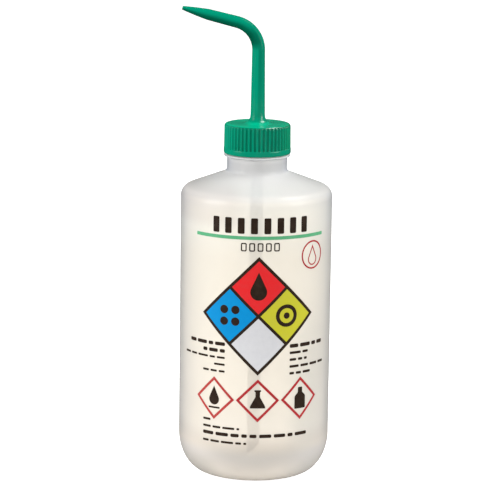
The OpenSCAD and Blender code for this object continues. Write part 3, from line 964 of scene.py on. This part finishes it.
def soften(points, radius):
    """The same outline with its corners rounded to about the radius."""
    outline = []
    for i, point in enumerate(points):
        corner = Vector(point)
        before = Vector(points[i - 1]) - corner
        after = Vector(points[(i + 1) % len(points)]) - corner
        reach = min(radius, before.length * 0.45, after.length * 0.45)
        start = corner + before.normalized() * reach
        end = corner + after.normalized() * reach
        for j in range(6):
            share = j / 5
            curved = (start * (1 - share) ** 2 + corner * 2 * share * (1 - share)
                      + end * share * share)
            outline.append((curved.x, curved.y))
    return outline


def vessel(half, across, z, height, radius):
    """Symmetric outline standing on z, from its right half."""
    mirrored = [(-x, up) for x, up in reversed(half)]
    outline = mirrored[-1:] + half + mirrored[:-1]
    return soften([(across + x * height, z + up * height) for x, up in outline], radius)


def divided(start, end, gap, count):
    """(start, end) of `count` equal parts with gaps between."""
    pitch = (end - start + gap) / count
    return [(start + pitch * i, start + pitch * (i + 1) - gap) for i in range(count)]


def dashes(start, end, z, height, seed, gap=1.1, mirror=False):
    """A row of plain dashes of varied length between start and end."""
    row, at, number = [], start, seed
    while at < end - 0.8:
        number = (number * 37 + 11) % 101
        dash_end = min(at + 2.6 + 4.2 * (number / 100.0), end)
        if end - dash_end < 2.2:
            dash_end = end
        row.append(bar(at, dash_end, z, height, height * 0.35))
        at = dash_end + gap
    if mirror:
        row = [[(start + end - x, up) for x, up in outline] for outline in row]
    return row


def filled(outlines):
    """Flat bmesh of the outlines; one outline inside another is a hole in it."""
    curve = bpy.data.curves.new("outline", "CURVE")
    curve.dimensions = "2D"
    curve.fill_mode = "BOTH"
    for outline in outlines:
        spline = curve.splines.new("POLY")
        spline.points.add(len(outline) - 1)
        for point, (across, z) in zip(spline.points, outline):
            point.co = (across, z, 0, 1)
        spline.use_cyclic_u = True
    holder = bpy.data.objects.new("outline", curve)
    COLLECTION.objects.link(holder)
    bpy.context.view_layer.update()
    depsgraph = bpy.context.evaluated_depsgraph_get()
    data = bpy.data.meshes.new_from_object(holder.evaluated_get(depsgraph))
    bpy.data.objects.remove(holder)
    bpy.data.curves.remove(curve)
    flat = bmesh.new()
    flat.from_mesh(data)
    bpy.data.meshes.remove(data)
    return flat


def film(colour, outlines):
    flat = filled(outlines)
    bmesh.ops.remove_doubles(flat, verts=flat.verts, dist=1e-4)
    # join the fill's triangles, then cut into upright strips
    bmesh.ops.dissolve_limit(flat, angle_limit=math.radians(1), verts=flat.verts,
                             edges=flat.edges)
    for across in range(-60, 60):
        bmesh.ops.bisect_plane(flat, geom=flat.verts[:] + flat.edges[:] + flat.faces[:],
                               dist=1e-5, plane_co=(across, 0, 0), plane_no=(1, 0, 0))
    bmesh.ops.triangulate(flat, faces=[face for face in flat.faces if len(face.verts) > 4])

    wrapped = bmesh.new()

    def wrap(radius):
        """A copy of every flat point on the cylinder of this radius."""
        copies = {}
        for vert in flat.verts:
            angle = vert.co.x / BODY_R
            copies[vert] = wrapped.verts.new((radius * math.sin(angle) * MM,
                                              -radius * math.cos(angle) * MM, vert.co.y * MM))
        return copies

    top = wrap(BODY_R + INK_RISE)
    low = wrap(BODY_R - INK_SINK)
    for face in flat.faces:
        wrapped.faces.new([top[vert] for vert in face.verts])
        wrapped.faces.new([low[vert] for vert in reversed(face.verts[:])])
    for edge in flat.edges:
        if len(edge.link_faces) == 1:
            loop = edge.link_loops[0]
            start, end = loop.vert, loop.link_loop_next.vert
            wrapped.faces.new((top[end], top[start], low[start], low[end]))
    flat.free()
    face_outward(wrapped)
    for face in wrapped.faces:
        face.smooth = True
    piece = finish_mesh(wrapped, "ink_film_" + colour, [INK[colour]], sharp=30)
    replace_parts(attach(piece, "bottle"), "print_" + colour)


def headings():
    """Heading as plain blocks, sub-heading as plain frames."""
    outlines = [bar(start, end, 130.3, 7.8, 0.6)
                for start, end in divided(-21.9, 26.8, gap=3.1, count=8)]
    z, height, line = 119.9, 4.2, 0.6
    for start, end in divided(-7.3, 11.8, gap=1.2, count=5):
        outlines += [bar(start, end, z, height, 0.7),
                     bar(start + line, end - line, z, height - 2 * line, 0.3)]
    return outlines


def text_rows():
    outlines = []
    for i, (left_length, left_height, right_length, right_height) in enumerate(SIDE_ROWS):
        outlines += dashes(LEFT_END - left_length, LEFT_END, LEFT_Z - SIDE_PITCH * i,
                           left_height, seed=7 + i, mirror=True)
        outlines += dashes(RIGHT_START, RIGHT_START + right_length, RIGHT_Z - SIDE_PITCH * i,
                           right_height, seed=23 + i)
    for i, (length, z, height, gap) in enumerate(LOW_ROWS):
        outlines += dashes(LOW_START, LOW_START + length, z, height, seed=41 + i, gap=gap)
    return outlines


def small_pictures():
    """A drop over a bar, a flask and a jar, one in each small diamond."""
    left, right = MARK_ACROSS - MARK_PITCH, MARK_ACROSS + MARK_PITCH
    return [drop(left, MARK_Z - 0.6, 2.8),
            bar(left - 3.2, left + 3.2, MARK_Z - 4.8, 0.9, 0.3),
            vessel(FLASK_HALF, MARK_ACROSS, MARK_Z - 3.8, height=9.2, radius=0.35),
            vessel(JAR_HALF, right, MARK_Z - 5.2, height=10.8, radius=0.5)]


def prints():
    left, right = SIGN_ACROSS - QUARTER_OFFSET, SIGN_ACROSS + QUARTER_OFFSET
    top_quarter = diamond(SIGN_ACROSS, SIGN_Z + QUARTER_OFFSET, QUARTER_H)
    low_quarter = diamond(SIGN_ACROSS, SIGN_Z - QUARTER_OFFSET, QUARTER_H)
    left_quarter = diamond(left, SIGN_Z, QUARTER_H)
    right_quarter = diamond(right, SIGN_Z, QUARTER_H)
    # black marks in the quarters: a drop, four dots, and a ring with a dot
    top_mark = drop(SIGN_ACROSS, SIGN_Z + QUARTER_OFFSET - 2.2, 4.1)
    left_mark = [disc(left + 2.9 * i, SIGN_Z + 2.9 * j, 2.1, 40)
                 for i in (-1, 1) for j in (-1, 1)]
    right_mark = [disc(right, SIGN_Z, 5.6), disc(right, SIGN_Z, 3.7), disc(right, SIGN_Z, 1.6, 40)]

    black = [diamond(SIGN_ACROSS, SIGN_Z, SIGN_H), top_quarter, low_quarter, left_quarter,
             right_quarter, top_mark, *left_mark, *right_mark]
    film("black", black + headings() + text_rows() + small_pictures())

    red = [top_quarter, top_mark]
    for i in (-1, 0, 1):
        across = MARK_ACROSS + MARK_PITCH * i
        red += [diamond(across, MARK_Z, MARK_H), diamond(across, MARK_Z, MARK_H - MARK_LINE)]
    red += [disc(RING_ACROSS, RING_Z, radius, 96) for radius in (7.1, 6.3)]
    red += [drop(RING_ACROSS, RING_Z - 2.2, radius) for radius in (3.0, 2.4)]
    film("red", red)
    film("blue", [left_quarter] + left_mark)
    film("yellow", [right_quarter] + right_mark)
    film("white", [low_quarter])
    film("green", [bar(-32.6, 38.4, z=124.4, height=1.7, radius=0.3)])


# ---------------------------------------------------------------------------
# Stage, light and camera, in metres
# ---------------------------------------------------------------------------
# (name, place, point aimed at, width, height, power in watts)
SOFTBOXES = [
    ("softbox_left", (-1.05, -0.42, 0.55), (0, 0, 0.12), 0.7, 1.0, 13.5),
    ("softbox_right", (1.05, -0.42, 0.55), (0, 0, 0.12), 0.55, 0.9, 6.5),
    ("softbox_top", (0.62, 0.10, 1.16), (0, 0, 0.14), 0.65, 0.5, 8.5)]


def hide_from(piece, *rays):
    for ray in rays:
        setattr(piece, "visible_" + ray, False)


def floor():
    mesh = bmesh.new()
    bmesh.ops.create_grid(mesh, x_segments=24, y_segments=24, size=9.0)
    nodes = Nodes(bpy.data.materials.new("floor_paper"))
    tone = nodes.ramp(nodes.noise(nodes.coords(), scale=3.0, detail=2.0),
                      [(0.3, 0.93), (0.7, 0.95)])
    paper = nodes.done(nodes.principled(Base_Color=tone, Roughness=0.7, Specular_IOR_Level=0.2,
                                        Emission_Color=rgba(1.0), Emission_Strength=0.55))
    piece = finish_mesh(mesh, "floor", [paper])
    hide_from(piece, "glossy", "diffuse")


def floor_bounce():
    """The lit paper round the base, which gives the heel its light."""
    mesh = bmesh.new()
    bmesh.ops.create_circle(mesh, cap_ends=True, segments=64, radius=0.115)
    nodes = Nodes(bpy.data.materials.new("floor_bounce_paper"))
    paper = nodes.done(nodes.principled(
        Base_Color=rgba(0.9), Roughness=0.8, Specular_IOR_Level=0.0,
        Emission_Color=rgba(1.0), Emission_Strength=0.2))
    piece = finish_mesh(mesh, "floor_bounce", [paper])
    piece.location.z = 0.0002
    hide_from(piece, "camera", "glossy", "transmission", "shadow")


def softbox(name, place, target, width, height, power):
    data = bpy.data.lights.new(name, "AREA")
    data.shape = "RECTANGLE"
    data.size = width
    data.size_y = height
    data.energy = power
    light = bpy.data.objects.new(name, data)
    COLLECTION.objects.link(light)
    light.location = place
    aim = Vector(target) - Vector(place)
    light.rotation_mode = "QUATERNION"
    light.rotation_quaternion = aim.to_track_quat("-Z", "Y")
    light.visible_camera = False


def world():
    """White where the camera sees it, a soft sky for lighting, and dim where
    only a reflection would show it."""
    studio = bpy.data.worlds.new("studio")
    bpy.context.scene.world = studio
    nodes = Nodes(studio, "OutputWorld")
    path = nodes.add("LightPath").outputs
    seen = nodes.add("Background", {"Color": rgba(1.0), "Strength": 1.3})
    _, y, z = nodes.split(nodes.add("TexCoord").outputs["Generated"])
    # a light tent: brightest level with the object, less from above and below
    tent = nodes.ramp(nodes.span(z, over=(-1.0, 1.0)), [(0.0, 0.10), (0.5, 1.45), (1.0, 0.42)])
    # reflections are a little brighter towards the backdrop (+Y)
    reflected = nodes.span(y, over=(0.1, 0.9), to=(0.02, 0.06))
    # sockets 0, 2 and 3 are the factor and numbers A and B
    strength = nodes.add("Mix", {0: path["Is Glossy Ray"], 2: tent, 3: reflected}).outputs[0]
    lit = nodes.add("Background", {"Strength": strength})
    nodes.done(nodes.mix_shader(path["Is Camera Ray"], lit.outputs["Background"],
                                seen.outputs["Background"]))


def camera():
    """Stands in front (-Y), looking slightly down; angles in radians."""
    distance, height = 1.32298, 0.37054
    yaw, pitch, roll = -0.001894, 0.193515, 0.0135397
    forward = Vector((math.sin(yaw) * math.cos(pitch), math.cos(yaw) * math.cos(pitch),
                      -math.sin(pitch)))
    right = Vector((math.cos(yaw), -math.sin(yaw), 0))
    up = right.cross(forward)
    x = right * math.cos(roll) + up * math.sin(roll)
    y = up * math.cos(roll) - right * math.sin(roll)
    data = bpy.data.cameras.new("camera")
    data.sensor_width = 36
    data.lens = 195.14808
    data.shift_x = -0.0016
    data.clip_start = 0.05
    data.clip_end = 60
    viewer = bpy.data.objects.new("camera", data)
    COLLECTION.objects.link(viewer)
    pose = Matrix((x, y, -forward)).transposed().to_4x4()
    pose.translation = Vector((0, -distance, height))
    viewer.matrix_world = pose
    bpy.context.scene.camera = viewer


bottle()
closure()
draw_tube()
prints()
floor()
floor_bounce()
world()
for box in SOFTBOXES:
    softbox(*box)
camera()
bpy.context.scene.view_settings.view_transform = "Standard"
bpy.context.scene.view_settings.look = "None"
